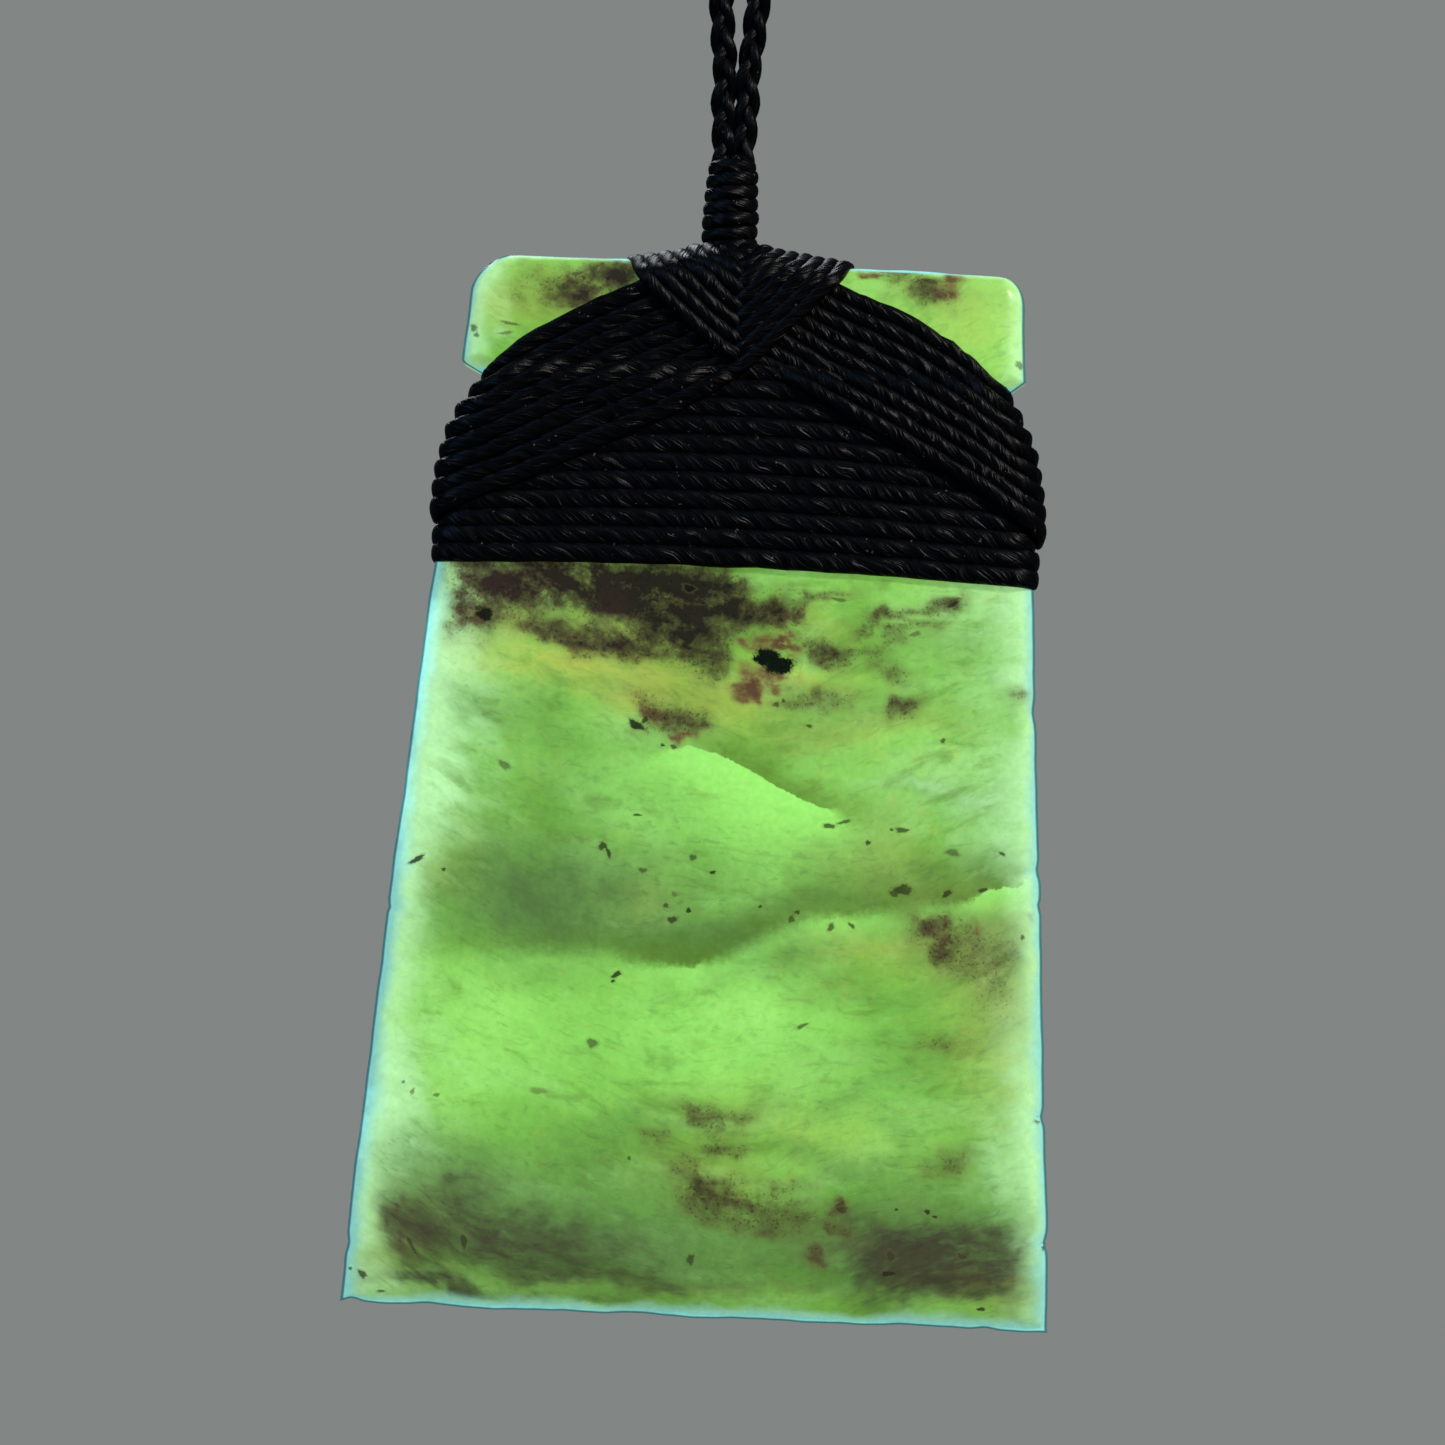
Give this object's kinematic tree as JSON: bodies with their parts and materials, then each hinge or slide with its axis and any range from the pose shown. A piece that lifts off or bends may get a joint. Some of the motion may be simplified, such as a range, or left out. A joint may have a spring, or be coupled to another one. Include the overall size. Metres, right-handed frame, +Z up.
{
  "type": "toki adze pendant",
  "caption": "Greenstone adze blade lashed at its notched head with black waxed cord and hung on a plaited cord necklace.",
  "frame": {"origin": "inside of the necklace's top, where it hangs on a peg", "axes": "+Z up along the hanging pendant, +X to the right seen from the front, front towards -Y"},
  "size_m": [0.0405, 0.0084, 0.3091],
  "materials": {
    "greenstone": "polished, translucent",
    "waxed_cord": "waxed, satin"
  },
  "bodies": {
    "root": {"toki_blade": "greenstone", "band_lashing": "waxed_cord", "cross_lashing": "waxed_cord", "neck_whipping": "waxed_cord", "plaited_cord_left": "waxed_cord", "plaited_cord_right": "waxed_cord", "closure_whipping": "waxed_cord"}
  },
  "joints": []
}
